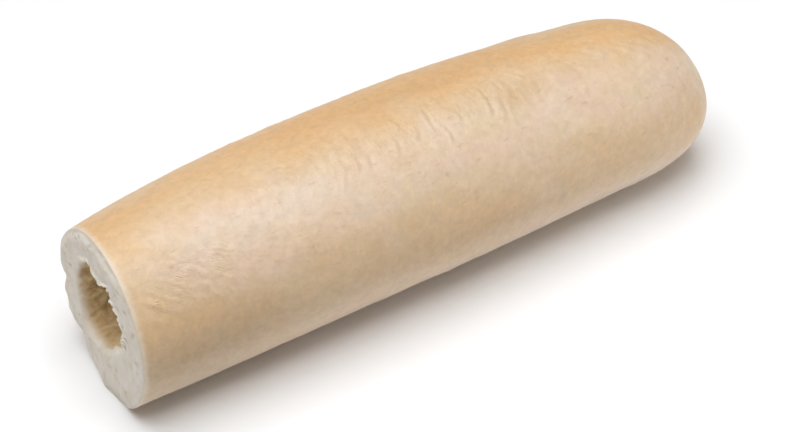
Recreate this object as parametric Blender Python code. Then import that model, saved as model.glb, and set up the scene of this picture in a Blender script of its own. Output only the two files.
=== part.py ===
"""Hot dog bun of the French kind: a smooth, pale-baked white roll with one end cut off and a blind hole down
its length, into which the sausage is pushed. It is one solid, lying on its flat underside.

Metres, +Z up. +X runs from the cut end to the round nose. The origin is under the middle of the bun, on the
surface that it lies on.
"""

import math

import bmesh
import bpy
from mathutils import Vector, noise

# The loaf
LENGTH = 0.1645  # cut face to tip of nose
WIDTH = 0.048  # across the belly, the fullest section
HEIGHT = 0.044  # of the belly, from the underside up
BELLY_FROM_CUT = 0.0615
SETTLE = 0.0016  # how far the round section has sunk flat on the baking tray
SHOULDER = 0.0006  # softness of the corner where the flat underside meets the side
CUT_END_TAPER = 0.114  # share of its size that the section loses from the belly to the cut face
NOSE_END_TAPER = 0.173  # and from the belly to the nose
NOSE_LENGTH = 0.0296
NOSE_BLUNTNESS = 2.57  # 2 is an elliptical nose, and more is blunter
NOSE_TIP_HEIGHT = 0.013
BOW = 0.00065  # how far the middle lies behind the line between the two ends
LUMP = 0.0003  # height of the loaf's uneven swellings
LUMP_SPACING = 0.034
LUMP_PATCH = Vector((5.0, 16.5, 5.0))  # which patch of the endless swellings this loaf has

# The cut
CUT_LEAN_BACK = 0.056  # slope of the cut face: its top edge is this much further in for each metre up
CUT_LEAN_SIDE = 0.046
CRUST_EDGE = 0.0004  # rounding of the cut crust's edge
CRUMB_STANDS_OUT = 0.0007  # the springy crumb stands this far out past the cut crust
CRUMB_STEP = 0.16  # share of the bread's thickness, from the crust in, over which it comes out that far
CRUMB_UNEVEN = 0.0006
CRUMB_SPACING = 0.0032

# The hole that the spike leaves
HOLE_WIDTH = 0.0236
HOLE_HEIGHT = 0.0208
HOLE_AXIS_HEIGHT = 0.021
HOLE_DEPTH = 0.132
HOLE_TAPER = 0.14  # share of its size that the hole loses down its depth
HOLE_TIP_LENGTH = 0.012
MOUTH_ROUND = 0.0011
MOUTH_RAGGED = 0.0013  # how far torn crumb sticks into the mouth
MOUTH_SPACING = 0.0024
RAGGED_DEPTH = 0.010  # the mouth's raggedness and the lean of the cut die away over this depth

# How finely the solid is divided
STEPS_ROUND = 64
SKIN_RINGS = 27
NOSE_RINGS = 11
FACE_RINGS = 8
WALL_RINGS = 12
TIP_RINGS = 4
MOUTH_RINGS = 2
ROUNDING_ERROR = 1e-7

SECTION_HEIGHT = HEIGHT + SETTLE  # the full oval, before it settles
BLANK_RADIUS = SECTION_HEIGHT / 2
HOLE_BLANK_RADIUS = HOLE_HEIGHT / 2
FULL_TURN = 2 * math.pi
QUARTER_TURN = math.pi / 2


def smooth(share):
    """0 to 1, flat at both ends."""
    share = min(max(share, 0.0), 1.0)
    return share * share * (3 - 2 * share)


def mix(a, b, share):
    return a + (b - a) * share


def nose_share(x):
    """The section's size in the round nose: 1 where the nose starts, 0 at its tip."""
    along = min(max((x - LENGTH + NOSE_LENGTH) / NOSE_LENGTH, 0.0), 1.0)
    return (1 - along**NOSE_BLUNTNESS) ** (1 / NOSE_BLUNTNESS)


def body_share(x):
    """The slow taper both ways from the belly."""
    if x < BELLY_FROM_CUT:
        return 1 - CUT_END_TAPER * (1 - x / BELLY_FROM_CUT) ** 2
    return 1 - NOSE_END_TAPER * ((x - BELLY_FROM_CUT) / (LENGTH - BELLY_FROM_CUT)) ** 2


def skin_radius(x):
    """Radius of the crust on the round blank."""
    return BLANK_RADIUS * body_share(x) * nose_share(x)


def hole_radius(x):
    """Radius of the hole on the round blank. Its tip is rounded as the spike's is."""
    along = min(max(x / HOLE_DEPTH, 0.0), 1.0)
    into_tip = min(max((x - HOLE_DEPTH + HOLE_TIP_LENGTH) / HOLE_TIP_LENGTH, 0.0), 1.0)
    return HOLE_BLANK_RADIUS * (1 - HOLE_TAPER * along) * math.sqrt(1 - into_tip**2)


def section_centre(x):
    """Height of the section's centre: it rests on the tray, and the nose lifts off towards its tip."""
    resting = BLANK_RADIUS * body_share(x) * nose_share(x) - SETTLE
    return resting + (NOSE_TIP_HEIGHT + SETTLE) * (1 - nose_share(x))


def even(start, end, count):
    """count values from start up to, and without, end."""
    return [mix(start, end, i / count) for i in range(count)]


def hole_outline():
    """(x, radius) from the hole's blind tip out to its mouth, closer together near the mouth."""
    tip_start = HOLE_DEPTH - HOLE_TIP_LENGTH
    tip = [tip_start + HOLE_TIP_LENGTH * math.cos(a) for a in even(0, QUARTER_TURN, TIP_RINGS)]
    wall = [mix(MOUTH_ROUND, tip_start, share**2) for share in even(1, 0, WALL_RINGS)]
    return [(x, hole_radius(x)) for x in tip + wall]


def face_outline():
    """(x, radius) over the rounded mouth and out across the cut face to the crust's edge."""
    inner = hole_radius(0)
    mouth = [
        (MOUTH_ROUND * (1 - math.sin(a)), inner + MOUTH_ROUND * (1 - math.cos(a)))
        for a in even(0, QUARTER_TURN, MOUTH_RINGS)
    ]
    rim = skin_radius(0) - CRUST_EDGE
    return mouth + [(0.0, r) for r in even(inner + MOUTH_ROUND, rim, FACE_RINGS)] + [(0.0, rim)]


def skin_outline():
    """(x, radius) along the crust, from its cut edge to the tip of the nose."""
    nose_start = LENGTH - NOSE_LENGTH
    body = [(x, skin_radius(x)) for x in even(CRUST_EDGE, nose_start, SKIN_RINGS)]
    nose = [
        nose_start + NOSE_LENGTH * math.sin(a) ** (2 / NOSE_BLUNTNESS)
        for a in even(0, QUARTER_TURN, NOSE_RINGS)
    ]
    return body + [(x, skin_radius(x)) for x in nose] + [(LENGTH, 0.0)]


def spin_blank():
    """The round blank: the whole outline, hole, face and crust, turned once round the X axis."""
    blank = bmesh.new()
    outline = hole_outline() + face_outline() + skin_outline()
    points = [blank.verts.new((x, 0, radius)) for x, radius in outline]
    edges = [blank.edges.new(pair) for pair in zip(points, points[1:])]
    bmesh.ops.spin(
        blank, geom=points + edges, cent=(0, 0, 0), axis=(1, 0, 0),
        dvec=(0, 0, 0), angle=FULL_TURN, steps=STEPS_ROUND, use_merge=True,
    )
    bmesh.ops.remove_doubles(blank, verts=blank.verts, dist=ROUNDING_ERROR)
    bmesh.ops.recalc_face_normals(blank, faces=blank.faces)
    return blank


def settled(z):
    """Height after the section has sunk flat on the tray, with a soft corner at the side."""
    if z >= SHOULDER:
        return z
    return 0.0 if z <= -SHOULDER else (z + SHOULDER) ** 2 / (4 * SHOULDER)


def lump(x, side, up):
    """The swelling of the loaf towards (side, up), in metres."""
    spot = Vector((x, side * BLANK_RADIUS, up * BLANK_RADIUS)) / LUMP_SPACING + LUMP_PATCH
    return LUMP * noise.noise(spot)


def torn(x, side, up, radius, spacing):
    """Torn crumb, from -1 to 1, at this place."""
    spot = Vector((x, side * radius, up * radius)) / spacing
    return noise.fractal(spot, 0.8, 2.0, 3)


def shaped(point):
    """Where a point of the round blank goes in the real bun."""
    x, radius = point.x, math.hypot(point.y, point.z)
    on_axis = radius < ROUNDING_ERROR
    side, up = (0.0, 0.0) if on_axis else (point.y / radius, point.z / radius)
    inner, outer = hole_radius(x), skin_radius(x)
    on_skin = x > LENGTH - NOSE_LENGTH or radius > outer - 2 * CRUST_EDGE
    outwards = 1.0 if on_skin else smooth((radius - inner) / (outer - inner))

    ragged = MOUTH_RAGGED * (1 - smooth(x / RAGGED_DEPTH)) * (1 - outwards) ** 2
    radius -= ragged * abs(torn(x, side, up, radius, MOUTH_SPACING))
    radius += lump(x, side, up) * outwards

    widening = mix(HOLE_WIDTH / HOLE_HEIGHT, WIDTH / SECTION_HEIGHT, outwards)
    centre = mix(HOLE_AXIS_HEIGHT, section_centre(x), outwards)
    y = side * radius * widening - BOW * (2 * x / LENGTH - 1) ** 2
    z = settled(centre + up * radius)

    if x < RAGGED_DEPTH:
        on_face = 1 - smooth(x / RAGGED_DEPTH)
        x += on_face * (CUT_LEAN_SIDE * y + CUT_LEAN_BACK * (z - HEIGHT / 2))
        if not on_skin:
            x -= on_face * CRUMB_STANDS_OUT * smooth((1 - outwards) / CRUMB_STEP)
            x += on_face * CRUMB_UNEVEN * torn(0.0, side, up, radius, CRUMB_SPACING)
    return Vector((x, y, z))


def centre_on_origin(blank):
    """Moves the bun so that the origin is under the middle of it."""
    for axis in (0, 1):
        places = [v.co[axis] for v in blank.verts]
        middle = (min(places) + max(places)) / 2
        for v in blank.verts:
            v.co[axis] -= middle


def crust_material():
    material = bpy.data.materials.new("baked_crust")
    material.use_nodes = True
    bread = material.node_tree.nodes["Principled BSDF"]
    bread.inputs["Base Color"].default_value = (0.74, 0.52, 0.30, 1)
    bread.inputs["Roughness"].default_value = 0.45
    bread.inputs["Metallic"].default_value = 0.0
    return material


def make_bun(collection):
    blank = spin_blank()
    for v in blank.verts:
        v.co = shaped(v.co)
    centre_on_origin(blank)
    mesh = bpy.data.meshes.new("bun")
    blank.to_mesh(mesh)
    blank.free()
    mesh.materials.append(crust_material())
    mesh.shade_smooth()
    mesh.set_sharp_from_angle(angle=math.radians(50))
    bun = bpy.data.objects.new("bun", mesh)
    collection.objects.link(bun)
    return bun


def main():
    for leftover in list(bpy.data.objects):
        bpy.data.objects.remove(leftover)
    collection = bpy.data.collections.new("hot_dog_bun")
    bpy.context.scene.collection.children.link(collection)
    make_bun(collection)


main()
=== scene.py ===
import math
import random

import bmesh
import bpy
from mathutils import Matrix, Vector, noise


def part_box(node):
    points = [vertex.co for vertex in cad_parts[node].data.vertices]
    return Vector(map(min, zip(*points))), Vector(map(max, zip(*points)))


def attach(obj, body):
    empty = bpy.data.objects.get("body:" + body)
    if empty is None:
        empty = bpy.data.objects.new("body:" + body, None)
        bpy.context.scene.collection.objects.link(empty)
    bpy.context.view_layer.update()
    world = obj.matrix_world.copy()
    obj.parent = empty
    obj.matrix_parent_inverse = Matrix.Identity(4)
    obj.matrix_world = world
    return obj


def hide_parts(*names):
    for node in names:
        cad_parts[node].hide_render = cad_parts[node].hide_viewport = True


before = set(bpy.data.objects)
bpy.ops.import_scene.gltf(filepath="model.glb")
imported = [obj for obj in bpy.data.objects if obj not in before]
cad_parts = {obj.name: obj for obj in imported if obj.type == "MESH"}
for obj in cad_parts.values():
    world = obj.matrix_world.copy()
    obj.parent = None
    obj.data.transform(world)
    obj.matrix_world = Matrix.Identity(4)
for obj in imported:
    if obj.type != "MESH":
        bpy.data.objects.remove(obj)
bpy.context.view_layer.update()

# Part of the paleness down the sides is painted sheen and painted floor light, and shade is painted into
# the folds and in patches.
# Crust -------------------------------------------------------------------------------------------------
# The skin of the loaf: white bread dough, rolled up, proofed and pale-baked in steam, so that it stays thin
# and leathery. It is gold on top and paler down the sides, and shrank into small folds as the bread cooled.
# It is all one with the crumb, and ends in a thin edge where the end was cut off.
LENGTH = 0.1645  # cut face to tip of nose
WIDTH = 0.048  # across the belly, the fullest section
HEIGHT = 0.044  # of the belly, from the underside up
BELLY_FROM_CUT = 0.0615
SETTLE = 0.0016  # how far the round section has sunk flat on the baking tray
SHOULDER = 0.0006  # softness of the corner where the flat underside meets the side
CUT_END_TAPER = 0.114  # share of its size that the section loses from the belly to the cut face
NOSE_END_TAPER = 0.173  # and from the belly to the nose
NOSE_LENGTH = 0.0296
NOSE_BLUNTNESS = 2.57
NOSE_TIP_HEIGHT = 0.013
BOW = 0.00065  # how far the middle lies behind the line between the two ends
LUMP = 0.0003  # height of the loaf's uneven swellings
LUMP_SPACING = 0.034
LUMP_PATCH = Vector((5.0, 16.5, 5.0))
CUT_LEAN_BACK = 0.056  # the cut face's top edge is this much further in for each metre up
CUT_LEAN_SIDE = 0.046
LEAN_DEPTH = 0.010  # the lean of the cut dies away over this depth
RIM_FROM, RIM_WIDTH = 0.012, 0.008  # the cut's rim: how far out it starts, and over how much it grows
CRUST_THICKNESS = 0.0009
CUT_THICKNESS = 0.00045  # the knife has drawn the crust out thinner at the cut
CRUST_EDGE = 0.0003  # rounding of the cut crust's edge
CUT_HOLLOW = 0.0002  # how far its inner edge lies back, under the crumb
STEPS_ROUND = 244
FINE_STEP = 0.00042  # distance between rings of the skin where it is creased
SKIN_STEP = 0.00070  # and elsewhere
CRINKLED_TO = 0.027  # the creases by the cut end here
FOLDED_FROM, FOLDED_TO = 0.042, 0.112  # and the folds further along lie between these
HIDDEN_STEP = 0.007  # distance between rings of the wall that nobody sees
SECTION_HEIGHT = HEIGHT + SETTLE
BLANK_RADIUS = SECTION_HEIGHT / 2
FULL_TURN = 2 * math.pi
MM = 0.001
ROUNDING_ERROR = 1e-7
WELD = 5e-6  # seams closer than this are one


def smooth(share):
    """0 to 1, flat at both ends."""
    share = min(max(share, 0.0), 1.0)
    return share * share * (3 - 2 * share)


def mix(a, b, share):
    return a + (b - a) * share


def bell(distance, width):
    """1 at no distance, falling away to nothing a few widths off."""
    return math.exp(-((distance / width) ** 2))


def nose_share(x):
    """The section's size in the round nose: 1 where the nose starts, 0 at its tip."""
    along = min(max((x - LENGTH + NOSE_LENGTH) / NOSE_LENGTH, 0.0), 1.0)
    return (1 - along**NOSE_BLUNTNESS) ** (1 / NOSE_BLUNTNESS)


def body_share(x):
    """The slow taper both ways from the belly."""
    if x < BELLY_FROM_CUT:
        return 1 - CUT_END_TAPER * (1 - x / BELLY_FROM_CUT) ** 2
    return 1 - NOSE_END_TAPER * ((x - BELLY_FROM_CUT) / (LENGTH - BELLY_FROM_CUT)) ** 2


def skin_radius(x):
    return BLANK_RADIUS * body_share(x) * nose_share(x)


def rest_height(x):
    """Height of the section's centre: it rests on the tray, and the nose lifts off towards its tip."""
    return skin_radius(x) - SETTLE + (NOSE_TIP_HEIGHT + SETTLE) * (1 - nose_share(x))


def settled(z):
    """Height after the section has sunk flat on the tray, with a soft corner at the side."""
    if z >= SHOULDER:
        return z
    return 0.0 if z <= -SHOULDER else (z + SHOULDER) ** 2 / (4 * SHOULDER)


def degrees_round(side, up):
    """Which way (side, up) points, in degrees from 0 to 360. 90 is the top of the loaf."""
    return math.degrees(math.atan2(up, side)) % 360


def apart(angle, other):
    """Degrees from the other angle to this one, the short way round."""
    return (angle - other + 180) % 360 - 180


# Where the knife has wandered at the rim of the cut: (degrees round, width in degrees, mm outwards)
KNIFE_WAVES = (
    (342, 6, -1.10), (328, 4, -0.35), (318, 7, -0.25), (303, 6, -0.90), (299, 14, -1.00), (284, 8, -0.50),
    (264, 6, 0.50), (245, 6, -0.50), (14, 10, 0.30),
)


def leaned(point, x):
    """Turns the cut end by the small angle that the knife was off square, and lets it wander at the rim."""
    across, over = point.y, point.z - HEIGHT / 2
    off_square = CUT_LEAN_SIDE * across + CUT_LEAN_BACK * over
    angle = degrees_round(across, over)
    at_rim = smooth((math.hypot(across, over) - RIM_FROM) / RIM_WIDTH)
    wander = sum(out * bell(apart(angle, place), width) for place, width, out in KNIFE_WAVES)
    off_square -= wander * MM * at_rim
    return point + Vector(((1 - smooth(x / LEAN_DEPTH)) * off_square, 0, 0))


def crust_depth(x):
    return mix(CUT_THICKNESS, CRUST_THICKNESS, smooth(x / LEAN_DEPTH))


def under_skin(x, side, up, depth):
    """The place this deep in the loaf below its skin, towards (side, up) of its middle."""
    swelling = LUMP * noise.noise(
        Vector((x, side * BLANK_RADIUS, up * BLANK_RADIUS)) / LUMP_SPACING + LUMP_PATCH
    )
    radius = skin_radius(x) + swelling * smooth(2 * nose_share(x))  # none at the tip of the nose
    y = side * radius * WIDTH / SECTION_HEIGHT - BOW * (2 * x / LENGTH - 1) ** 2
    skin = Vector((x, y, settled(rest_height(x) + up * radius)))
    core_x = min(x, LENGTH - NOSE_LENGTH)
    core = Vector((core_x, 0, rest_height(core_x)))
    return leaned(skin + (core - skin).normalized() * depth, x)


def direction(point):
    """Which way a point of the round blank lies from its axis, as (side, up)."""
    radius = math.hypot(point.y, point.z)
    return (0.0, 0.0) if radius < ROUNDING_ERROR else (point.y / radius, point.z / radius)


def stepped(outline, step, folded_step):
    """Points about one step apart along an outline of close points, from its first to its last."""
    kept, walked = [outline[0]], 0.0
    for before, here in zip(outline, outline[1:]):
        walked += math.dist(before, here)
        creased = here[0] < CRINKLED_TO or FOLDED_FROM < here[0] < FOLDED_TO
        if walked >= (folded_step if creased else step):
            kept.append(here)
            walked = 0.0
    return kept[:-1] + [outline[-1]]


def skin_outline(step, folded_step):
    """(x, radius) along the skin, from the rounded cut edge to the tip of the nose."""
    close = 5000
    nose_start = LENGTH - NOSE_LENGTH
    body = [mix(CRUST_EDGE, nose_start, i / close) for i in range(close)]
    nose = [
        nose_start + NOSE_LENGTH * math.sin(i / close * math.pi / 2) ** (2 / NOSE_BLUNTNESS)
        for i in range(close)
    ]
    close_points = [(x, skin_radius(x)) for x in body + nose] + [(LENGTH, 0.0)]
    return stepped(close_points, step, folded_step)


def turned(blank, outline, steps=STEPS_ROUND):
    """Spins an outline of (x, radius) once round the X axis, and returns the points that this makes."""
    before = set(blank.verts)
    points = [blank.verts.new((x, 0, radius)) for x, radius in outline]
    edges = [blank.edges.new(pair) for pair in zip(points, points[1:])]
    bmesh.ops.spin(
        blank, geom=points + edges, cent=(0, 0, 0), axis=(1, 0, 0),
        dvec=(0, 0, 0), angle=FULL_TURN, steps=steps, use_merge=True,
    )
    made = [v for v in blank.verts if v not in before]
    bmesh.ops.remove_doubles(blank, verts=made, dist=ROUNDING_ERROR)
    return [v for v in blank.verts if v not in before]


# Folds that the shrinking skin has made: from (mm along, degrees round) to (mm along, degrees round), and
# the depth in mm. 90 degrees is the top of the loaf and 180 its near side.
FOLDS = (
    (81.5, 99, 81.0, 117, 0.34), (83.6, 113, 83.9, 127, 0.32), (97.4, 99, 96.4, 120, 0.30),
    (61.4, 94, 61.2, 104, 0.12), (60.5, 111, 59.7, 122, 0.18), (57.3, 115, 54.4, 128, 0.14),
    (63.6, 113, 62.1, 124, 0.17), (71.3, 110, 70.4, 121, 0.18), (77.6, 107, 76.2, 118, 0.16),
    (67.4, 117, 69.5, 127, 0.12), (88.1, 107, 88.5, 117, 0.18), (98.6, 102, 95.6, 124, 0.14),
    (101.3, 102, 103.2, 109, 0.18), (99.9, 114, 98.4, 127, 0.15), (106.9, 95, 109.9, 105, 0.18),
    (121.4, 104, 123.3, 117, 0.12), (123.4, 119, 122.2, 126, 0.12), (40.3, 112, 39.6, 122, 0.12),
    (51.2, 90, 50.6, 99, 0.10), (73.9, 100, 73.2, 109, 0.12), (90.6, 110, 90.2, 121, 0.12),
    (9.9, 119, 14.3, 130, 0.18), (13.6, 127, 18.5, 137, 0.16), (7.4, 127, 11.2, 134, 0.14),
    (15.4, 139, 18.8, 146, 0.18), (13.1, 143, 16.6, 150, 0.14), (16.9, 144, 19.9, 153, 0.15),
    (20.3, 154, 23.1, 162, 0.12), (11.0, 120, 13.5, 129, 0.12), (19.6, 139, 23.5, 145, 0.12),
    (16.2, 128, 19.0, 131, 0.12), (9.2, 136, 11.9, 144, 0.12), (21.5, 147, 22.4, 155, 0.12),
    (141.0, 103, 145.5, 110, 0.24), (136.0, 98, 139.5, 106, 0.22), (134.0, 104, 137.0, 110, 0.18),
    (130.0, 92, 134.5, 97, 0.20), (126.5, 97, 129.5, 104, 0.16), (145.5, 99, 148.5, 106, 0.18),
    (121.0, 104, 126.5, 109, 0.20),
    # the far side, where they are fewer
    (35.0, 32, 34.1, 15, 0.20), (58.2, 36, 57.6, 18, 0.24), (61.0, 28, 60.1, 12, 0.18),
    (87.5, 35, 88.3, 17, 0.24), (104.0, 30, 103.0, 13, 0.20), (120.6, 36, 119.9, 22, 0.18),
    (18.0, 26, 26.5, 8, 0.20), (22.4, 30, 29.0, 15, 0.18), (70.4, 20, 77.5, 3, 0.18),
)
FOLD_WIDTH = 0.42  # mm
FOLD_ARCH, ARCH_SPREAD = 0.35, 0.65  # mm that a fold curves aside, and how much that differs between folds
ARCH_RATE = 7.0
ARCH_ENDS = 0.6  # share of the arch by which the ends lie to the other side
RIDGE_OFF, RIDGE_WIDTH, RIDGE_HEIGHT = 1.9, 1.25, 0.75  # of the ridge by a fold, against the fold's own
MM_PER_DEGREE = 0.384
# Round dents and burst bubbles: (mm along, degrees round, radius in mm, depth in mm)
DENTS = (
    (22.4, 127, 0.8, 0.22), (34.8, 119, 0.9, 0.18), (36.6, 109, 0.7, 0.14), (31.6, 123, 0.6, 0.12),
    (35.2, 134, 0.7, 0.20), (33.6, 138, 0.6, 0.16), (30.4, 170, 0.8, 0.18), (34.2, 165, 0.9, 0.26),
    (41.5, 166, 0.6, 0.14), (21.7, 164, 0.7, 0.16), (29.3, 161, 0.6, 0.14), (115.2, 117, 0.8, 0.16),
    (117.0, 137, 0.7, 0.16), (122.3, 149, 0.7, 0.14), (118.5, 108, 3.2, 0.20), (128.4, 106, 3.6, 0.22),
    (143.8, 108, 3.0, 0.18), (39.8, 146, 1.6, 0.10), (121.5, 50, 4.5, 0.32),
    (132.6, 105, 1.0, 0.24), (140.2, 107, 1.0, 0.24), (143.1, 116, 0.9, 0.20), (121.8, 110, 1.3, 0.18),
    (122.5, 124, 0.8, 0.20), (127.5, 144, 0.7, 0.16), (115.3, 119, 0.7, 0.16), (130.5, 99, 0.8, 0.16),
    (138.0, 101, 1.4, -0.14), (143.0, 106, 1.2, -0.10), (133.0, 96, 1.6, -0.08), (128.0, 90, 1.5, -0.08),
)
FOLD_REACH, DENT_REACH = 3, 2.5  # how far off they still count, in mm and in the dent's own radii
SCATTERED = 420  # smaller dents and blisters all over
SCATTERED_ALONG, SCATTERED_RADII = (3, 160), (0.5, 1.1)  # mm
SCATTERED_DEPTHS = (-0.07, -0.05, 0.06, 0.08, 0.11)
UNEVEN = 0.10  # mm, of soft unevenness
UNEVEN_SPACING = 0.0075
WRINKLE = 0.09  # mm, of leathery wrinkles
WRINKLE_ACROSS, WRINKLE_ALONG = 0.0016, 0.0048
WRINKLE_PATCHES = 0.016
GATHER = 0.32  # mm, of the unnamed folds where the skin has gathered
GATHER_SPACING, GATHER_REACH = 0.0027, 0.0085
GATHER_PATCHES, PATCH_CONTRAST = 0.011, 1.6
GATHER_LEVEL = 0.22  # what lies over this stands out as a fold
CROSSWISE_FOLDS, FINER_FOLDS, SLANTED_FOLDS = 1.8, 0.7, 1.98  # how strong each kind is
FINER_SPACING, FINER_REACH = 0.5 * GATHER_SPACING, 0.6 * GATHER_REACH
BEND, BEND_SPACING = 0.5, 0.013
SLANT = 0.85  # mm round the loaf for each mm along it
SLANT_SPACING, SLANT_REACH = 0.0016, 0.0065
SLANT_SLICE = 3.3
# Where it has gathered: (mm along where it starts, over how many mm, where it ends, over how many mm,
# degrees round, reach in degrees, how strongly)
NEAR_BAND = (26, 22, 104, 24, 111, 15, 1.0)
FAR_BAND = (12, 20, 110, 30, 17, 14, 0.8)
CUT_BAND = (1, 6, 22, 12, 136, 16, 1.0)
# and on the nose: (mm along, reach in mm, degrees round, reach in degrees, how strongly)
NOSE_PATCH = (138, 10, 104, 13, 0.6)
HARDLY = 0.02

dice = random.Random(12)
for _ in range(SCATTERED):
    along, place = dice.uniform(*SCATTERED_ALONG), dice.uniform(0, 360)
    DENTS += ((along, place, dice.uniform(*SCATTERED_RADII), dice.choice(SCATTERED_DEPTHS)),)
near_folds = {}  # the folds that reach each millimetre of the loaf, so that few are tried at a place
for fold in FOLDS:
    start, end = sorted((int(fold[0]), int(fold[2])))
    for millimetre in range(start - FOLD_REACH, end + FOLD_REACH + 1):
        near_folds.setdefault(millimetre, []).append(fold)
near_dents = {}
for dent in DENTS:
    reach = DENT_REACH * dent[2]
    for millimetre in range(int(dent[0] - reach), int(dent[0] + reach) + 2):
        near_dents.setdefault(millimetre, []).append(dent)


def fold_height(x, angle, fold):
    """A valley with a ridge along one side of it, tapering to nothing at both its ends."""
    start_x, start_angle, end_x, end_angle, depth = fold
    run = Vector((end_x - start_x, (end_angle - start_angle) * MM_PER_DEGREE))
    here = Vector((x - start_x, (angle - start_angle) * MM_PER_DEGREE))
    along = here.dot(run) / run.length_squared
    if not 0 < along < 1:
        return 0.0
    taper = 4 * along * (1 - along)  # 1 halfway along it, 0 at its ends
    arch = FOLD_ARCH + ARCH_SPREAD * math.sin(ARCH_RATE * start_x)
    off = (here.x * run.y - here.y * run.x) / run.length - arch * (taper - ARCH_ENDS)
    valley = bell(off, FOLD_WIDTH)
    ridge = bell(off - RIDGE_OFF * FOLD_WIDTH, RIDGE_WIDTH * FOLD_WIDTH)
    return depth * math.sqrt(taper) * (RIDGE_HEIGHT * ridge - valley)


def dent_height(x, angle, dent):
    place_x, place_angle, radius, depth = dent
    off = math.hypot(x - place_x, apart(angle, place_angle) * MM_PER_DEGREE)
    return -depth * bell(off, radius)


def in_band(x, angle, band):
    """How strongly the skin has gathered in this band, at x mm along and this many degrees round."""
    start, grows, end, fades, place, reach, strength = band
    along = smooth((x - start) / grows) * (1 - smooth((x - end) / fades))
    return strength * along * bell(apart(angle, place), reach)


def gathered(x, angle):
    """How much the skin has gathered here into crosswise folds, and into slanted ones, from 0 to 1."""
    crosswise = in_band(x, angle, NEAR_BAND) + in_band(x, angle, FAR_BAND)
    along, reach, place, turn, strength = NOSE_PATCH
    slanted = in_band(x, angle, CUT_BAND)
    slanted += strength * bell(x - along, reach) * bell(apart(angle, place), turn)
    return crosswise, slanted


def stretched(spot, across, along):
    """A place in a pattern whose marks are this wide along the loaf and this long round it."""
    return Vector((spot.x / across, spot.y / along, spot.z / along))


def relief(spot, angle):
    """How far the skin stands out, in mm, at a place on the loaf this many degrees round."""
    x = spot.x / MM
    height = UNEVEN * noise.noise(spot / UNEVEN_SPACING)
    wrinkles = noise.fractal(stretched(spot, WRINKLE_ACROSS, WRINKLE_ALONG), 0.9, 2.0, 2)
    height += WRINKLE * wrinkles * (0.5 + noise.noise(spot / WRINKLE_PATCHES))
    crosswise, slanted = gathered(x, angle)
    here_and_there = smooth(0.5 + PATCH_CONTRAST * noise.noise(spot / GATHER_PATCHES + LUMP_PATCH))
    if crosswise > HARDLY:
        bend = Vector((BEND * noise.noise(spot / BEND_SPACING), 0, 0))
        folds = abs(noise.noise(stretched(spot, GATHER_SPACING, GATHER_REACH) + bend))
        finer = abs(noise.noise(stretched(spot, FINER_SPACING, FINER_REACH) - bend))
        folds = CROSSWISE_FOLDS * (folds - GATHER_LEVEL) + FINER_FOLDS * (finer - GATHER_LEVEL)
        height += GATHER * crosswise * here_and_there * folds
    if slanted > HARDLY:
        slant = (angle * MM_PER_DEGREE - x * SLANT) * MM
        across = Vector((slant / SLANT_SPACING, (spot.x + spot.y) / SLANT_REACH, SLANT_SLICE))
        folds = abs(noise.noise(across)) - GATHER_LEVEL
        height += GATHER * SLANTED_FOLDS * slanted * here_and_there * folds
    for fold in near_folds.get(int(x), ()):
        height += fold_height(x, angle, fold)
    for dent in near_dents.get(int(x), ()):
        height += dent_height(x, angle, dent)
    return height


# Patches of the skin: (mm along, degrees round, reach in mm, reach in degrees, how much browner, how much
# painted shade). Browner is where the oven has left the skin browner or paler than the rest; its paler
# patches by the highlight band and by the lower rim are partly painted sheen and painted floor light. The
# painted shade darkens the skin where shade falls on it, and below 0 it is painted light.
PATCHES = (
    (3, 137, 10, 30, 0.50, 0.02), (16, 160, 12, 15, 0.34, 0.0), (24, 90, 26, 15, -0.30, 0.0),
    (35, 112, 18, 15, -0.50, 0.0), (64, 137, 10, 9, 0.10, 0.0), (72, 158, 12, 8, 0.18, 0.0),
    (85, 172, 14, 10, 0.26, 0.0), (105, 80, 9, 8, 0.16, 0.0), (104, 110, 8, 7, 0.16, 0.04),
    (131, 92, 9, 6, 0.24, 0.0), (145, 100, 8, 10, 0.10, 0.0), (130, 118, 16, 14, 0.12, 0.0),
    (122, 66, 14, 10, -0.16, 0.0), (145, 60, 18, 16, -0.20, 0.0), (140, 200, 34, 15, -0.30, 0.0),
    (100, 212, 40, 12, -0.20, 0.0), (56, 64, 20, 10, 0.10, 0.0), (44, 196, 15, 15, -0.34, 0.0),
    (84, 106, 10, 10, -0.20, 0.0), (52, 96, 9, 6, 0.10, 0.0), (12, 180, 28, 19, 0.0, 0.26),
    (9, 123, 15, 11, 0.0, 0.06), (80, 184, 50, 13, 0.0, 0.16), (147, 150, 12, 22, 0.14, 0.07),
    (46, 138, 18, 13, -0.10, -0.05), (62, 171, 10, 7, 0.10, 0.05), (6, 212, 20, 18, 0.0, 0.10),
    (84, 82, 28, 9, 0.0, 0.07), (105, 112, 9, 10, 0.0, 0.04), (134, 111, 4, 4, 0.16, 0.0),
    (147, 91, 5, 6, 0.18, 0.0), (151, 108, 6, 6, -0.16, 0.0), (128, 73, 5, 5, 0.14, 0.0),
    (62, 100, 50, 16, 0.0, 0.05),
)


def patchy(x, angle):
    """How much browner the skin is, and its painted shade, this many mm along and this many degrees round.
    """
    browner = painted_shade = 0.0
    for along, place, reach, turn, brown, shade_amount in PATCHES:
        here = bell(x - along, reach) * bell(apart(angle, place), turn)
        browner += brown * here
        painted_shade += shade_amount * here
    return browner, painted_shade
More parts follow.
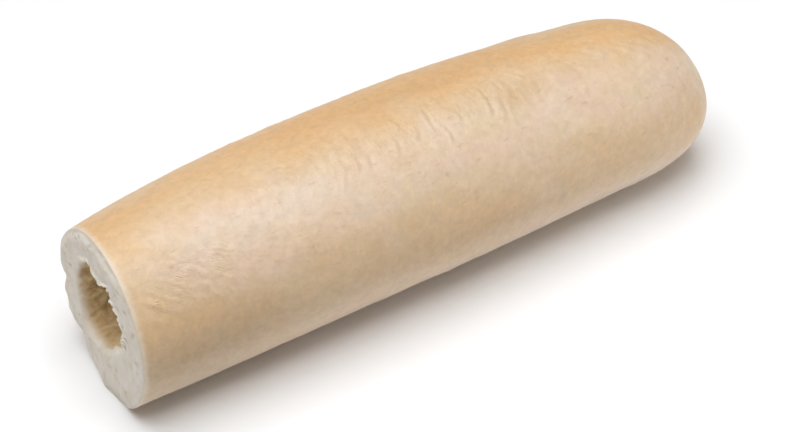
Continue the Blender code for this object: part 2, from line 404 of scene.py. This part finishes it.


# How baked the skin is, from 0 for the palest to 1 for gold: (degrees round, reach in degrees, how much
# more than elsewhere, and whether the band's edges are wavy). The pale bands of the flanks (127, and 20 on
# the far side) are partly paler baking and partly painted sheen of the soft box, and the pale bands beside
# the tray (218, 322) are partly less baked skin and partly painted light bounced off the white floor.
EVEN_BAKE = 0.62
BAKE_AND_PAINTED_LIGHT_BANDS = (
    (78, 28, 0.38, True), (127, 27, -0.37, True), (20, 25, -0.259, True),
    (218, 24, -0.42, False), (322, 24, -0.42, False), (270, 26, 0.30, False),
)
BAND_WAVES = ((13, 0.019), (9, 0.0065))  # (degrees, spacing)
PATCH_BAKE = 0.75
NOSE_BAKE = 0.36  # the tip of the nose is pale all round
NOSE_FROM = 0.8  # the size of the section where that begins
RELIEF_GROWS = 0.0025  # the relief grows to its full height over this from the cut
CALM_TIP, TIP_RELIEF = 0.006, 0.35  # and is lower over this at the tip of the nose
PALE_EDGE, PALE_REACH = 0.62, 0.0016  # how pale the skin is by the cut, and how far in that goes
PALE_START, PALE_RAGGED, PALE_SPACING = 0.0001, 0.00045, 0.0014
HOLLOW_DEPTH = 0.3  # mm, where the painted shade in a fold is at its darkest


def tip_of_nose(x):
    """0 along the loaf, growing to 1 at the tip of the nose."""
    return 1 - smooth(nose_share(x) / NOSE_FROM)


def bake_and_painted_light_at(x, spot, angle, browner):
    """How far the oven has browned the skin at this spot, with the patch that it may lie in, and the
    painted sheen and floor light of its pale bands.
    """
    wavy = sum(degrees * noise.noise(spot / spacing) for degrees, spacing in BAND_WAVES)
    more = PATCH_BAKE * browner
    for place, reach, amount, waves in BAKE_AND_PAINTED_LIGHT_BANDS:
        more += amount * bell(apart(angle + wavy if waves else angle, place), reach)
    return min(max(mix(EVEN_BAKE + more, NOSE_BAKE, tip_of_nose(x)), 0.0), 1.0)


cut_plane = Vector((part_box("bun")[1].x - LENGTH, 0, 0))
shell = bmesh.new()
bake_and_painted_light = shell.verts.layers.float.new("bake_and_painted_light")  # 0 where the skin stayed palest, with painted sheen and floor light in its pale bands, 1 where it is gold
# shade painted onto the skin by the patches, and painted light where it is below 0
painted_shade = shell.verts.layers.float.new("painted_shade")
pale_edge = shell.verts.layers.float.new("pale_edge")  # the cut edge of the crust
painted_fold_shade = shell.verts.layers.float.new("painted_fold_shade")  # shade painted into the folds and dents
folded = shell.verts.layers.float.new("folded")  # where the skin is finely folded crosswise
crinkled = shell.verts.layers.float.new("crinkled")  # and where it is crinkled aslant
cut_edge = [
    (CUT_HOLLOW, skin_radius(0) - CUT_THICKNESS),
    (0.0, skin_radius(0) - CRUST_EDGE),
    (0.12 * CRUST_EDGE, skin_radius(0) - 0.5 * CRUST_EDGE),
    (0.5 * CRUST_EDGE, skin_radius(0) - 0.12 * CRUST_EDGE),
]
skin = turned(shell, cut_edge + skin_outline(SKIN_STEP, FINE_STEP))
on_blank = []
for v in skin:
    side, up = direction(v.co)
    on_cut = v.co.x < 0.9 * CRUST_EDGE
    depth = skin_radius(0) - math.hypot(v.co.y, v.co.z) if on_cut else 0.0
    on_blank.append((v.co.x, side, up, depth))
    v.co = under_skin(v.co.x, side, up, depth)
shell.normal_update()
outwards = [v.normal.copy() for v in skin]
for v, (x, side, up, depth), normal in zip(skin, on_blank, outwards):
    angle = degrees_round(side, up)
    size_here = BLANK_RADIUS * nose_share(x)
    spot = Vector((x, side * size_here, up * size_here))
    height = relief(spot, angle)
    height *= smooth(x / RELIEF_GROWS) * smooth((LENGTH - x) / CALM_TIP + TIP_RELIEF)
    if v.co.z < SHOULDER / 2:
        height = min(height, 0.0)
    v.co += normal * height * MM
    v.co.z = max(v.co.z, 0.0)
    browner, painted_shade_here = patchy(x / MM, angle)
    v[bake_and_painted_light] = bake_and_painted_light_at(x, spot, angle, browner)
    v[painted_shade] = painted_shade_here * (1 - tip_of_nose(x))
    from_edge = x - PALE_START - PALE_RAGGED * noise.noise(spot / PALE_SPACING)
    v[pale_edge] = 1.0 if depth > CRUST_EDGE / 2 else PALE_EDGE * (1 - smooth(from_edge / PALE_REACH))
    v[painted_fold_shade] = smooth(-height / HOLLOW_DEPTH)
    v[folded], v[crinkled] = gathered(x / MM, angle)
inner_wall = [(CUT_HOLLOW, skin_radius(0))] + skin_outline(HIDDEN_STEP, HIDDEN_STEP)[1:]
for v in turned(shell, inner_wall):
    side, up = direction(v.co)
    v.co = under_skin(v.co.x, side, up, crust_depth(v.co.x if v.co.x > LEAN_DEPTH / 2 else 0.0))
    v[pale_edge] = 1.0
bmesh.ops.remove_doubles(shell, verts=shell.verts, dist=WELD)
bmesh.ops.recalc_face_normals(shell, faces=shell.faces)
bmesh.ops.translate(shell, vec=cut_plane, verts=shell.verts)
crust_mesh = bpy.data.meshes.new("crust")
shell.to_mesh(crust_mesh)
shell.free()
crust_mesh.shade_smooth()
crust = bpy.data.objects.new("crust", crust_mesh)
bpy.context.scene.collection.objects.link(crust)


def put(tree, kind, inputs=(), **settings):
    """Adds a shader node, and sets or links its inputs."""
    node = tree.nodes.new("ShaderNode" + kind)
    for name, value in settings.items():
        setattr(node, name, value)
    for name, value in dict(inputs).items():
        if isinstance(value, bpy.types.NodeSocket):
            tree.links.new(value, node.inputs[name])
        else:
            node.inputs[name].default_value = value
    return node


def shades(tree, share, colours):
    """A colour for each share from 0 to 1, mixed between the ones given."""
    ramp = put(tree, "ValToRGB", {"Fac": share})
    stops = ramp.color_ramp.elements
    while len(stops) < len(colours):
        stops.new(0.5)
    for stop, (position, colour) in zip(stops, colours):
        stop.position = position
        stop.color = (*colour, 1)
    return ramp.outputs["Color"]


def blended(tree, share, first, second):
    """The first colour, turning to the second as share goes to 1."""
    node = put(tree, "Mix", data_type="RGBA")
    for socket, value in zip((node.inputs[0], node.inputs[6], node.inputs[7]), (share, first, second)):
        if isinstance(value, bpy.types.NodeSocket):
            tree.links.new(value, socket)
        else:
            socket.default_value = (*value, 1) if isinstance(value, tuple) else value
    return node.outputs[2]


def sums(tree, operation, first, second, third=0.0):
    node = put(tree, "Math", operation=operation)
    for socket, value in zip(node.inputs, (first, second, third)):
        if isinstance(value, bpy.types.NodeSocket):
            tree.links.new(value, socket)
        else:
            socket.default_value = value
    return node.outputs[0]


def pattern(tree, where, scale, detail=2, roughness=0.5, distortion=0.0):
    """A cloudy pattern from 0 to 1. The scale is how many marks fit in a metre."""
    inputs = {"Vector": where, "Scale": scale, "Detail": detail}
    inputs.update({"Roughness": roughness, "Distortion": distortion})
    return put(tree, "TexNoise", inputs).outputs[0]


def added(tree, value, marks, amount):
    """The value, pushed up and down by this amount of a pattern."""
    return sums(tree, "MULTIPLY_ADD", sums(tree, "SUBTRACT", marks, 0.5), amount, value)


def between(tree, value, low, high, low_to=0.0, high_to=1.0):
    """The value, stretched so that low and high become low_to and high_to, and held there past them."""
    limits = {"From Min": low, "From Max": high, "To Min": low_to, "To Max": high_to}
    return put(tree, "MapRange", {"Value": value, **limits}).outputs[0]


def painted(tree, layer):
    """What the mesh's own layer of that name holds."""
    return put(tree, "Attribute", attribute_name=layer).outputs["Fac"]


def creased(tree, where, scale, distortion):
    """Sharp-edged creases: 0 in the line of a crease."""
    marks = pattern(tree, where, scale, distortion=distortion)
    return sums(tree, "ABSOLUTE", sums(tree, "SUBTRACT", marks, 0.5), 0.0)


# The palest colour is partly the palest skin and partly painted sheen and painted floor light.
PALEST_SKIN_AND_PAINTED_LIGHT = (0.755, 0.615, 0.49)
PINK_SKIN = (0.745, 0.556, 0.413)
CREAM_SKIN = (0.722, 0.563, 0.392)
EVEN_SKIN = (0.715, 0.505, 0.30)
GOLD_SKIN = (0.73, 0.455, 0.225)
CUT_CRUST = (0.79, 0.71, 0.60)
FOLD_SHADE = (0.60, 0.43, 0.28)
FLECK = (0.56, 0.38, 0.22)
BLOTCHY, MOTTLED, SPECKLED = 0.60, 0.40, 0.16  # how much each pattern changes how baked the skin looks
PALEST_AND_PAINTED_LIGHT_TO, PALE_TO = 0.26, 0.62  # how baked the palest skin (partly painted sheen and floor light) ends, and the pale
LIGHTEST, DARKEST = 1.14, 0.86  # of the speckles
DIMPLED = 0.24
FLECKED, SHADED = 0.55, 0.45  # how strongly the flecks are tinted, and how strongly shade is painted into the folds
SATIN, DULLER = 0.40, 0.52  # roughness
CREASED, CRINKLED = 2.6, 3.4  # depth of the finest creases, against the grain of the skin
GRAIN_DEPTH, GRAIN_STRENGTH = 0.00030, 0.6
SLANT_TURN = (0, math.radians(26.4), math.radians(-29.8))  # which way the slanted crinkles run

baked_skin = bpy.data.materials.new("baked_skin")
baked_skin.use_nodes = True
tree = baked_skin.node_tree
bread = tree.nodes["Principled BSDF"]
place = put(tree, "TexCoord").outputs["Object"]
drawn_out = put(tree, "Mapping", {"Vector": place, "Scale": (0.5, 1.0, 1.0)}).outputs[0]
blotches = pattern(tree, drawn_out, scale=75, detail=4, roughness=0.55)
mottling = pattern(tree, place, scale=240, detail=4, roughness=0.6)
speckles = pattern(tree, place, scale=900, detail=5, roughness=0.68)
dimples = pattern(tree, place, scale=460)
bake_with_painted_light = added(tree, painted(tree, "bake_and_painted_light"), blotches, BLOTCHY)
bake_with_painted_light = added(tree, bake_with_painted_light, mottling, MOTTLED)
bake_with_painted_light = added(tree, bake_with_painted_light, speckles, SPECKLED)
clouds = pattern(tree, drawn_out, scale=130, detail=3)
palest = shades(tree, clouds, ((0.40, PINK_SKIN), (0.60, CREAM_SKIN)))
palest = blended(tree, between(tree, bake_with_painted_light, 0.0, PALEST_AND_PAINTED_LIGHT_TO), PALEST_SKIN_AND_PAINTED_LIGHT, palest)
toasted = shades(tree, bake_with_painted_light, ((PALE_TO, EVEN_SKIN), (1.0, GOLD_SKIN)))
colour = blended(tree, between(tree, bake_with_painted_light, PALEST_AND_PAINTED_LIGHT_TO, PALE_TO), palest, toasted)
lightness = added(tree, between(tree, speckles, 0.0, 1.0, DARKEST, LIGHTEST), dimples, DIMPLED)
# the painted shade takes lightness off the skin, and painted light adds it where it is below 0
lightness = sums(tree, "SUBTRACT", lightness, painted(tree, "painted_shade"))
colour = put(tree, "HueSaturation", {"Value": lightness, "Color": colour}).outputs[0]
flecks = between(tree, pattern(tree, drawn_out, scale=640, roughness=0.6), 0.62, 0.76)
colour = blended(tree, sums(tree, "MULTIPLY", flecks, FLECKED), colour, FLECK)
colour = blended(tree, sums(tree, "MULTIPLY", painted(tree, "painted_fold_shade"), SHADED), colour, FOLD_SHADE)
colour = blended(tree, painted(tree, "pale_edge"), colour, CUT_CRUST)
tree.links.new(colour, bread.inputs["Base Color"])
tree.links.new(between(tree, mottling, 0.3, 0.7, SATIN, DULLER), bread.inputs["Roughness"])
bread.inputs["Specular IOR Level"].default_value = 0.5
grain = pattern(tree, place, scale=760, detail=5, roughness=0.62)
grain = sums(tree, "MULTIPLY", grain, between(tree, blotches, 0.4, 0.62, 0.4, 1.0))
here_and_there = between(tree, mottling, 0.42, 0.60)
crosswise = put(tree, "Mapping", {"Vector": place, "Scale": (1.0, 0.30, 0.30)}).outputs[0]
where_folded = sums(tree, "MULTIPLY", painted(tree, "folded"), here_and_there)
depth = sums(tree, "MULTIPLY", where_folded, CREASED)
creases = creased(tree, crosswise, scale=600, distortion=0.5)
grain = sums(tree, "MULTIPLY_ADD", creases, depth, grain)
turn = {"Vector": place, "Rotation": SLANT_TURN, "Scale": (2.2, 1.0, 1.0)}
slanted = put(tree, "Mapping", turn, vector_type="TEXTURE").outputs[0]
where_crinkled = sums(tree, "MULTIPLY", painted(tree, "crinkled"), here_and_there)
depth = sums(tree, "MULTIPLY", where_crinkled, CRINKLED)
crinkles = creased(tree, slanted, scale=560, distortion=1.0)
grain = sums(tree, "MULTIPLY_ADD", crinkles, depth, grain)
bump = put(tree, "Bump", {"Strength": GRAIN_STRENGTH, "Distance": GRAIN_DEPTH, "Height": grain}).outputs[0]
tree.links.new(bump, bread.inputs["Normal"])
crust_mesh.materials.append(baked_skin)
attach(crust, "root")
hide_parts("bun")

# Crumb -------------------------------------------------------------------------------------------------
# The white inside of the bread: soft, springy, and full of small uneven pores. The knife has left it in a
# slightly bulging face. A hot spike was pushed in to make the hole: it pressed the crumb together along
# the wall and toasted it a little, and it tore the mouth's edge.
HOLE_WIDTH = 0.0236
HOLE_HEIGHT = 0.0208
HOLE_AXIS_HEIGHT = 0.021
HOLE_DEPTH = 0.132
HOLE_TAPER = 0.14  # share of its size that the hole loses down its depth
HOLE_TIP_LENGTH = 0.012
MOUTH_ROUND = 0.0012
CRUMB_IN_CRUST = 0.00012  # it reaches a little into the crust, as the two are one
CRUMB_STANDS_OUT = 0.0006  # the springy crumb stands this far out past the cut crust
CRUMB_STEP = 0.26
CRUMB_STEPS_ROUND = 320
FACE_STEP = 0.00024
WALL_STEP = 0.00032
FINE_WALL_TO = 0.016  # past this the wall's rings lie further apart
DEEP_RINGS, TIP_RINGS, MOUTH_RINGS = 40, 12, 5
# How the mouth differs from a plain oval: (degrees round, width in degrees, mm inwards, depth in mm that
# it reaches). A rag of crumb hangs from the top, and the lower near side is pressed flat.
MOUTH_FEATURES = (
    (96, 8, 2.3, 2.0), (84, 7, 2.2, 1.8), (75, 4, 0.9, 1.4), (228, 30, 1.9, 16.0), (307, 14, -1.2, 9.0),
    (64, 7, -0.6, 6.0), (170, 6, -0.6, 4.0), (216, 5, 0.7, 1.5), (128, 9, 0.8, 4.0), (340, 20, 0.4, 8.0),
    (24, 12, 0.3, 5.0),
)
BEAD_SIDE, BEAD_SPREAD = 128, 82  # degrees round where the rim has most beads of torn crumb, and how widely
BEAD_SPACING = 0.0008
BEAD_CONTRAST = 1.7
BEAD_REACH = 0.8  # mm, how far from the rim they lie
BEAD_HEIGHT = 0.00040  # how far they stand out of the face
BEAD_INWARDS = 0.55  # mm, and how far they stick into the mouth
# how strongly the highlight is painted onto the beads
BEAD_LIGHT = 1.3
TORN_SIDE, TORN_SPREAD = 165, 62  # degrees, and where it has most ragged teeth
TOOTH, TOOTH_REACH, LEAST_TEETH = 1.2, 1.6, 0.12  # mm, mm, and their share away from there
TOOTH_SPACING, TOOTH_WIDTH = 0.0011, 0.30
TOOTH_LENGTH, LONGER, LONGER_SPACING = 0.7, 0.9, 0.0024
STREAK, STREAKS_FROM = 0.60, 0.003  # mm that the spike's streaks stand in, and how far in they start
STREAK_LENGTH, STREAK_WIDTH = 0.0038, 0.0022
LUMPS, LUMPS_FROM, LUMPS_SPACING = 0.34, 0.001, 0.0014
MOUTH_LUMPS = 0.3
BULGE, BULGE_SPACING = 0.00036, 0.0042  # of the cut face
GRIT, GRIT_SPACING = 0.00005, 0.0008
PORE_DEPTH, PORE_SPACING, PORE_LEVEL, PORE_SLOPE = 0.00032, 0.0015, 0.26, 0.34
FINE_PORES, FINE_SPACING, FINE_LEVEL = 0.5, 0.0008, 0.30
CALM_MOUTH, CALM_RIM = 0.06, 0.08  # share of the face beside the mouth and the crust that stays smooth
FACE_TURNS_IN = 0.004  # how far into the hole the crumb still stands out with the face
TOAST_FROM, TOAST_REACH = 0.0002, 0.0022  # how far in the toasted wall starts, and over how much it grows
LOW_SHADE_SIDE, LOW_SHADE_SPREAD, LOW_SHADE_REACH = 280, 45, 0.008  # where shade is painted along the bottom of the hole, near its mouth


def crumb_depth(x):
    """How deep under the skin the crumb starts."""
    return crust_depth(x) - CRUMB_IN_CRUST


def hole_radius(x):
    """Radius of the hole on the round blank. Its tip is rounded as the spike's is."""
    along = min(max(x / HOLE_DEPTH, 0.0), 1.0)
    into_tip = min(max((x - HOLE_DEPTH + HOLE_TIP_LENGTH) / HOLE_TIP_LENGTH, 0.0), 1.0)
    return HOLE_HEIGHT / 2 * (1 - HOLE_TAPER * along) * math.sqrt(1 - into_tip**2)


def hole_outline():
    """(x, radius) from the blind tip of the hole out to its rounded mouth."""
    tip_start = HOLE_DEPTH - HOLE_TIP_LENGTH
    quarter = math.pi / 2
    tip = [tip_start + HOLE_TIP_LENGTH * math.cos(i / TIP_RINGS * quarter) for i in range(TIP_RINGS)]
    deep = [mix(tip_start, FINE_WALL_TO, i / DEEP_RINGS) for i in range(DEEP_RINGS)]
    fine_rings = int((FINE_WALL_TO - MOUTH_ROUND) / WALL_STEP)
    fine = [mix(FINE_WALL_TO, MOUTH_ROUND, i / fine_rings) for i in range(fine_rings)]
    turns = [i / MOUTH_RINGS * quarter for i in range(MOUTH_RINGS)]
    mouth = [
        (MOUTH_ROUND * (1 - math.sin(turn)), hole_radius(0) + MOUTH_ROUND * (1 - math.cos(turn)))
        for turn in turns
    ]
    return [(x, hole_radius(x)) for x in tip + deep + fine] + mouth


def torn_bead(side, up, from_rim):
    """How much of a bead of torn crumb is here, from 0 to 1, this far from the mouth's rim."""
    spot = Vector((from_rim, side * HOLE_HEIGHT / 2, up * HOLE_HEIGHT / 2)) / BEAD_SPACING
    bead = smooth(0.5 + BEAD_CONTRAST * noise.noise(spot + LUMP_PATCH))
    torn = bell(apart(degrees_round(side, up), BEAD_SIDE), BEAD_SPREAD)
    return bead * torn * bell(from_rim / MM, BEAD_REACH)


def ragged(x, side, up):
    """How far the wall of the hole stands in from a plain oval, in mm."""
    angle = degrees_round(side, up)
    inwards = BEAD_INWARDS * torn_bead(side, up, -x)
    for place, width, amount, reach in MOUTH_FEATURES:
        inwards += amount * bell(apart(angle, place), width) * bell(x / MM, reach)
    spot = Vector((x, side * HOLE_HEIGHT / 2, up * HOLE_HEIGHT / 2))
    torn = mix(LEAST_TEETH, 1.0, bell(apart(angle, TORN_SIDE), TORN_SPREAD))
    teeth = max(0.0, 1 - abs(noise.noise(spot / TOOTH_SPACING + LUMP_PATCH)) / TOOTH_WIDTH)
    length = TOOTH_LENGTH + LONGER * noise.noise(spot / LONGER_SPACING)
    inwards += TOOTH * torn * teeth * length * bell(x / MM, TOOTH_REACH)
    streaks = noise.fractal(stretched(spot, STREAK_LENGTH, STREAK_WIDTH), 0.8, 2.0, 3)
    inwards += STREAK * streaks * smooth(x / STREAKS_FROM)
    inwards += LUMPS * noise.noise(spot / LUMPS_SPACING) * smooth(x / LUMPS_FROM + MOUTH_LUMPS)
    return inwards


def crumb_face(side, up, share):
    """A place on the cut face, from the mouth of the hole at share 0 to just under the crust at share 1,
    how far it is inside a pore, and how far it is on a bead of torn crumb."""
    mouth = wall_place(0.0, side, up, mouth_radius)
    point = mouth.lerp(under_skin(0.0, side, up, crumb_depth(0)), share)
    uneven = smooth(share / CALM_MOUTH) * smooth((1 - share) / CALM_RIM)
    flat = Vector((0, point.y, point.z))
    out = BULGE * noise.fractal(flat / BULGE_SPACING, 0.9, 2.0, 2) + GRIT * noise.noise(flat / GRIT_SPACING)
    pores = smooth((noise.noise(flat / PORE_SPACING + LUMP_PATCH) - PORE_LEVEL) / PORE_SLOPE)
    pores += FINE_PORES * smooth((noise.noise(flat / FINE_SPACING) - FINE_LEVEL) / FINE_LEVEL)
    bead = torn_bead(side, up, share * (rim_radius - mouth_radius))
    out = (out - PORE_DEPTH * pores) * uneven + BEAD_HEIGHT * bead
    point.x -= out + CRUMB_STANDS_OUT * smooth((1 - share) / CRUMB_STEP)
    return point, pores * uneven, bead


def wall_place(x, side, up, radius):
    """Where the wall of the hole is, with the mouth's raggedness."""
    radius -= ragged(x, side, up) * MM
    y = side * radius * HOLE_WIDTH / HOLE_HEIGHT - BOW * (2 * x / LENGTH - 1) ** 2
    return leaned(Vector((x, y, HOLE_AXIS_HEIGHT + up * radius)), x)


inside = bmesh.new()
in_hole = inside.verts.layers.float.new("in_hole")  # 1 where the spike has toasted the crumb
painted_low_wall_shade = inside.verts.layers.float.new("painted_low_wall_shade")  # painted shade along the bottom of the hole, where the overhead light falls in
# shade painted into the pores of the cut face
painted_pore_shade = inside.verts.layers.float.new("painted_pore_shade")
painted_bead_light = inside.verts.layers.float.new("painted_bead_light")  # where the mouth is torn into fine rags: a painted highlight on them, as they catch the light
mouth_radius = hole_radius(0) + MOUTH_ROUND
rim_radius = skin_radius(0) - crumb_depth(0)
for v in turned(inside, hole_outline() + [(0.0, mouth_radius)], CRUMB_STEPS_ROUND):
    side, up = direction(v.co)
    x = v.co.x
    v.co = wall_place(x, side, up, math.hypot(v.co.y, v.co.z))
    bead = torn_bead(side, up, -x)
    v.co.x -= CRUMB_STANDS_OUT * (1 - smooth(x / FACE_TURNS_IN)) + BEAD_HEIGHT * bead
    v[in_hole] = smooth((x - TOAST_FROM) / TOAST_REACH)
    low_shade = bell(apart(degrees_round(side, up), LOW_SHADE_SIDE), LOW_SHADE_SPREAD)
    v[painted_low_wall_shade] = low_shade * bell(x, LOW_SHADE_REACH)
    v[painted_bead_light] = min(1.0, BEAD_LIGHT * bead)
face_rings = int((rim_radius - mouth_radius) / FACE_STEP)
cut_face = [(0.0, mix(mouth_radius, rim_radius, i / face_rings)) for i in range(face_rings + 1)]
for v in turned(inside, cut_face, CRUMB_STEPS_ROUND):
    side, up = direction(v.co)
    share = (math.hypot(v.co.y, v.co.z) - mouth_radius) / (rim_radius - mouth_radius)
    v.co, v[painted_pore_shade], bead = crumb_face(side, up, share)
    v[painted_bead_light] = min(1.0, BEAD_LIGHT * bead)
hidden_back = [(0.0, skin_radius(0))] + skin_outline(HIDDEN_STEP, HIDDEN_STEP)
for v in turned(inside, hidden_back, CRUMB_STEPS_ROUND):
    side, up = direction(v.co)
    v.co = under_skin(v.co.x, side, up, crumb_depth(v.co.x))
bmesh.ops.remove_doubles(inside, verts=inside.verts, dist=WELD)
bmesh.ops.recalc_face_normals(inside, faces=inside.faces)
bmesh.ops.translate(inside, vec=cut_plane, verts=inside.verts)
crumb_mesh = bpy.data.meshes.new("crumb")
inside.to_mesh(crumb_mesh)
inside.free()
crumb_mesh.shade_smooth()
crumb = bpy.data.objects.new("crumb", crumb_mesh)
bpy.context.scene.collection.objects.link(crumb)

WHITE_CRUMB = (0.80, 0.735, 0.655)
CREAM_CRUMB = (0.74, 0.66, 0.55)
PORE_SHADE = (0.62, 0.53, 0.40)
# the painted highlight on the beads of torn crumb
BEAD_LIGHT_COLOUR = (0.95, 0.89, 0.77)
PRESSED_WALL = (0.90, 0.725, 0.43)
TOASTED_WALL = (0.68, 0.49, 0.265)
SHADOWED_WALL = (0.50, 0.34, 0.18)
PORE_TINT, LOW_WALL_SHADE = 0.5, 0.65  # how strongly shade is painted into the pores and along the bottom of the hole
CRUMB_GLOW, GLOW_DEPTH = 0.35, 0.0014  # light that goes into the crumb, and how far
CELL_DEPTH, CELL_STRENGTH = 0.00030, 0.45

soft_crumb = bpy.data.materials.new("soft_crumb")
soft_crumb.use_nodes = True
tree = soft_crumb.node_tree
bread = tree.nodes["Principled BSDF"]
place = put(tree, "TexCoord").outputs["Object"]
clouds = pattern(tree, place, scale=330, detail=4)
colour = shades(tree, clouds, ((0.36, WHITE_CRUMB), (0.66, CREAM_CRUMB)))
colour = blended(tree, sums(tree, "MULTIPLY", painted(tree, "painted_pore_shade"), PORE_TINT), colour, PORE_SHADE)
drawn_out = put(tree, "Mapping", {"Vector": place, "Scale": (0.6, 1.0, 1.0)}).outputs[0]
toasting = pattern(tree, drawn_out, scale=420, detail=4, roughness=0.6)
wall = shades(tree, toasting, ((0.40, PRESSED_WALL), (0.58, TOASTED_WALL)))
wall = blended(tree, sums(tree, "MULTIPLY", painted(tree, "painted_low_wall_shade"), LOW_WALL_SHADE), wall, SHADOWED_WALL)
colour = blended(tree, painted(tree, "in_hole"), colour, wall)
colour = blended(tree, painted(tree, "painted_bead_light"), colour, BEAD_LIGHT_COLOUR)
tree.links.new(colour, bread.inputs["Base Color"])
bread.inputs["Roughness"].default_value = 0.85
bread.inputs["Specular IOR Level"].default_value = 0.25
bread.inputs["Subsurface Weight"].default_value = CRUMB_GLOW
bread.inputs["Subsurface Radius"].default_value = (1.0, 0.75, 0.5)
bread.inputs["Subsurface Scale"].default_value = GLOW_DEPTH
cells = pattern(tree, place, scale=1500, detail=3)
bump = put(tree, "Bump", {"Strength": CELL_STRENGTH, "Distance": CELL_DEPTH, "Height": cells}).outputs[0]
tree.links.new(bump, bread.inputs["Normal"])
crumb_mesh.materials.append(soft_crumb)
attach(crumb, "root")
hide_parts("bun")

# Floor -------------------------------------------------------------------------------------------------
# A sheet of plain, matt, near-white paper that the loaf lies on.
# It is only the stage, and isn't part of the object.
FLOOR_SIDE = 5.0
PAPER = ((0.3, (0.925, 0.935, 0.945)), (0.7, (0.945, 0.95, 0.96)))
paper = bmesh.new()
bmesh.ops.create_grid(paper, x_segments=1, y_segments=1, size=FLOOR_SIDE / 2)
floor_mesh = bpy.data.meshes.new("floor")
paper.to_mesh(floor_mesh)
paper.free()
floor = bpy.data.objects.new("floor", floor_mesh)
bpy.context.scene.collection.objects.link(floor)
floor_paper = bpy.data.materials.new("floor_paper")
floor_paper.use_nodes = True
tree = floor_paper.node_tree
sheet = tree.nodes["Principled BSDF"]
place = put(tree, "TexCoord").outputs["Object"]
clouds = pattern(tree, place, scale=9, detail=3)
tree.links.new(shades(tree, clouds, PAPER), sheet.inputs["Base Color"])
sheet.inputs["Roughness"].default_value = 0.9
sheet.inputs["Specular IOR Level"].default_value = 0.1
floor_mesh.materials.append(floor_paper)

# Light -------------------------------------------------------------------------------------------------
# One large soft box hangs above the loaf, and a small one stands low by its nose.
# The room around them is white, and fills the shadows a little.
ROOM_BRIGHTNESS = 0.05


def soft_box(name, side, watts, place):
    """A square soft light that faces the loaf."""
    light = bpy.data.lights.new(name, "AREA")
    light.shape = "SQUARE"
    light.size = side
    light.energy = watts
    box = bpy.data.objects.new(name, light)
    box.location = place
    box.rotation_euler = Vector(place).to_track_quat("Z", "Y").to_euler()
    bpy.context.scene.collection.objects.link(box)


soft_box("overhead_box", 0.9, 9.2, (-0.12, 0.03, 0.8))
soft_box("low_box", 0.2, 0.35, (0.30, -0.24, 0.12))
room = bpy.data.worlds.new("white_room")
room.use_nodes = True
room.node_tree.nodes["Background"].inputs["Color"].default_value = (1, 1, 1, 1)
room.node_tree.nodes["Background"].inputs["Strength"].default_value = ROOM_BRIGHTNESS
bpy.context.scene.world = room
bpy.context.scene.view_settings.view_transform = "Standard"

# Camera ------------------------------------------------------------------------------------------------
# It looks down at the cut end from the near side, from about half a metre away,
# through a long lens.
CAMERA_TURN = math.radians(-33.702)
CAMERA_TILT = math.radians(40.108)
CAMERA_DISTANCE = 0.520
AIM_HEIGHT = 0.022
AIM_RIGHT = -0.001824
AIM_UP = -0.009532
CAMERA_LENS = 100.28
back = Vector((
    math.sin(CAMERA_TURN) * math.cos(CAMERA_TILT),
    -math.cos(CAMERA_TURN) * math.cos(CAMERA_TILT),
    math.sin(CAMERA_TILT),
))
right = Vector((math.cos(CAMERA_TURN), math.sin(CAMERA_TURN), 0))
above = back.cross(right)
aim = Vector((0, 0, AIM_HEIGHT)) + right * AIM_RIGHT + above * AIM_UP
lens = bpy.data.cameras.new("camera")
lens.lens = CAMERA_LENS
lens.sensor_width = 36
lens.clip_start = 0.01
camera = bpy.data.objects.new("camera", lens)
camera.location = aim + back * CAMERA_DISTANCE
camera.rotation_euler = back.to_track_quat("Z", "Y").to_euler()
bpy.context.scene.collection.objects.link(camera)
bpy.context.scene.camera = camera
